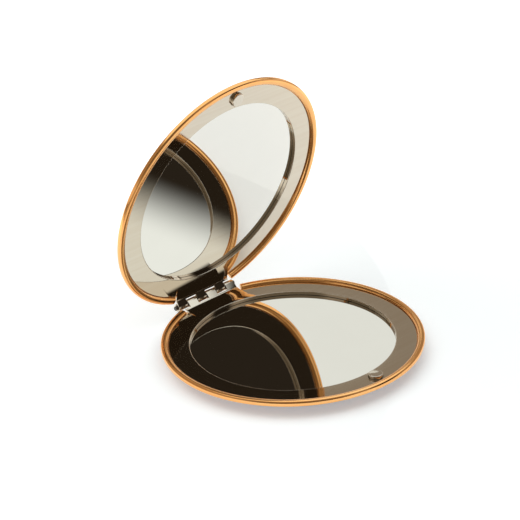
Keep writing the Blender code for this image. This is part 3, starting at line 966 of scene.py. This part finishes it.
def set_softbox(stage):
    """A softbox over the compact, more to its right and far side, with fading edges."""
    half_width, half_depth = stage.light_width / 2, stage.light_depth / 2
    turn = Matrix.Rotation(QUARTER_TURN - stage.light_azimuth, 4, "Z")
    middle = turn @ Vector((stage.light_right - half_width, half_depth - stage.light_front, 0.0))
    middle.z = stage.light_height
    bpy.ops.object.select_all(action="DESELECT")
    bpy.ops.mesh.primitive_plane_add(size=2.0, location=middle)
    panel = bpy.context.active_object
    panel.name = panel.data.name = "softbox"
    panel.scale = (half_width, half_depth, 1.0)
    panel.rotation_euler.z = QUARTER_TURN - stage.light_azimuth
    material, tree, glow = glow_material("softbox")
    glow.inputs["Color"].default_value = (*stage.light_colour, 1.0)
    glow.inputs["Strength"].default_value = stage.light_power
    place = node(tree, "ShaderNodeTexCoord")
    split = node(tree, "ShaderNodeSeparateXYZ")
    tree.links.new(place.outputs["Object"], split.inputs["Vector"])
    fades = []
    for axis, half in (("X", half_width), ("Y", half_depth)):
        size = node(tree, "ShaderNodeMath", operation="ABSOLUTE")
        tree.links.new(split.outputs[axis], size.inputs[0])
        fades.append(ramp_down(tree, size.outputs[0], 1.0, 1.0 - stage.light_fade / half))
    clear = node(tree, "ShaderNodeBsdfTransparent")
    mix = node(tree, "ShaderNodeMixShader")
    tree.links.new(product(tree, *fades), mix.inputs["Fac"])
    tree.links.new(clear.outputs["BSDF"], mix.inputs[1])
    tree.links.new(glow.outputs["Emission"], mix.inputs[2])
    tree.links.new(mix.outputs["Shader"], tree.nodes["Material Output"].inputs["Surface"])
    panel.visible_camera = False
    panel.visible_diffuse = False
    panel.data.materials.append(material)


def set_card(stage):
    """A pale round card, level, where the base glass mirrors it to the camera."""
    height = stage.light_height
    place = Vector((0.0, 0.0, PLATE_FACE + GLASS_TOP))
    place += CARD_WAY * (height - place.z) / CARD_WAY.z
    bpy.ops.object.select_all(action="DESELECT")
    bpy.ops.mesh.primitive_circle_add(
        vertices=CASE_STEPS, radius=stage.card_radius, fill_type="NGON", location=place
    )
    card = bpy.context.active_object
    card.name = card.data.name = "round_card"
    material, _, glow = glow_material("round_card")
    glow.inputs["Color"].default_value = (*stage.card_colour, 1.0)
    card.visible_camera = False
    card.data.materials.append(material)


def set_room(context, stage):
    """A warm grey room: pale close over the table, darker behind the camera and in one band."""
    world = bpy.data.worlds.new("room")
    context.scene.world = world
    world.use_nodes = True
    tree = world.node_tree
    background = tree.nodes["Background"]
    place = node(tree, "ShaderNodeTexCoord")
    split = node(tree, "ShaderNodeSeparateXYZ")
    tree.links.new(place.outputs["Generated"], split.inputs["Vector"])
    low = ramp_down(tree, split.outputs["Z"], stage.white_top, stage.white_low)
    behind = along(tree, place.outputs["Generated"], NEAR_WAY)
    near = ramp_down(tree, behind, stage.near_edge, stage.near_core)
    across = node(tree, "ShaderNodeMath", operation="ABSOLUTE")
    tree.links.new(along(tree, place.outputs["Generated"], BAND_ACROSS), across.inputs[0])
    toward = along(tree, place.outputs["Generated"], BAND_WAY)
    dark = product(
        tree,
        ramp_down(tree, across.outputs[0], stage.band_edge, stage.band_core),
        ramp_down(tree, toward, stage.band_end, stage.band_reach),
    )
    layers = ((low, stage.room_white), (near, stage.room_near), (dark, stage.room_dark))
    below = None
    for factor, tone in layers:
        mix = node(tree, "ShaderNodeMix", data_type="RGBA")
        mix.inputs[6].default_value = (*stage.room_pale, 1.0)
        mix.inputs[7].default_value = (*tone, 1.0)
        tree.links.new(factor, mix.inputs["Factor"])
        if below:
            tree.links.new(below, mix.inputs[6])
        below = mix.outputs[2]
    tree.links.new(below, background.inputs["Color"])


def set_camera(context, stage):
    """The camera at the photo's place."""
    data = bpy.data.cameras.new("camera")
    data.sensor_width = SENSOR_WIDTH
    data.lens = stage.focal_length / MM
    data.clip_start = CLIP_START
    camera = bpy.data.objects.new("camera", data)
    context.scene.collection.objects.link(camera)
    turn = Matrix((CAMERA_RIGHT, -CAMERA_DOWN, -CAMERA_AHEAD)).transposed()
    camera.matrix_world = Matrix.Translation(CAMERA_PLACE) @ turn.to_4x4()
    context.scene.camera = camera


class CompactSetStage(bpy.types.Operator):
    """Lay the floor, light the studio and set the camera"""

    bl_idname = "compact.set_stage"
    bl_label = "Studio"

    def execute(self, context):
        stage = context.scene.compact_stage
        set_floor(stage)
        set_fill(stage)
        set_softbox(stage)
        set_card(stage)
        set_room(context, stage)
        set_camera(context, stage)
        context.scene.view_settings.view_transform = "Standard"
        return {"FINISHED"}


class CompactPanel(bpy.types.Panel):
    """Lists the operators that make the compact"""

    bl_label = "Folding compact mirror"
    bl_idname = "VIEW3D_PT_compact_mirror"
    bl_space_type = "VIEW_3D"
    bl_region_type = "UI"
    bl_category = "Compact"

    def draw(self, context):
        for operator in OPERATORS:
            self.layout.operator(operator.bl_idname)


SETTINGS = {
    "compact_shell": CompactShellSettings,
    "compact_plate": CompactPlateSettings,
    "compact_glass": CompactGlassSettings,
    "compact_finish": CompactFinishSettings,
    "compact_stage": CompactStageSettings,
}
OPERATORS = (
    CompactMakeShells,
    CompactMakePlates,
    CompactMakeGlasses,
    CompactMakePads,
    CompactMakeMagnets,
    CompactMakePin,
    CompactSetStage,
)


def register():
    """Register the settings, the operators and the panel."""
    for name, group in SETTINGS.items():
        bpy.utils.register_class(group)
        setattr(bpy.types.Scene, name, bpy.props.PointerProperty(type=group))
    for operator in OPERATORS:
        bpy.utils.register_class(operator)
    bpy.utils.register_class(CompactPanel)


def unregister():
    """Take away the panel, the operators and the settings."""
    bpy.utils.unregister_class(CompactPanel)
    for operator in reversed(OPERATORS):
        bpy.utils.unregister_class(operator)
    for name, group in reversed(SETTINGS.items()):
        delattr(bpy.types.Scene, name)
        bpy.utils.unregister_class(group)


def main():
    """Make the compact and its studio."""
    register()
    bpy.ops.compact.make_shells()
    bpy.ops.compact.make_plates()
    bpy.ops.compact.make_glasses()
    bpy.ops.compact.make_pads()
    bpy.ops.compact.make_magnets()
    bpy.ops.compact.make_pin()
    bpy.ops.compact.set_stage()


if __name__ == "__main__":
    main()
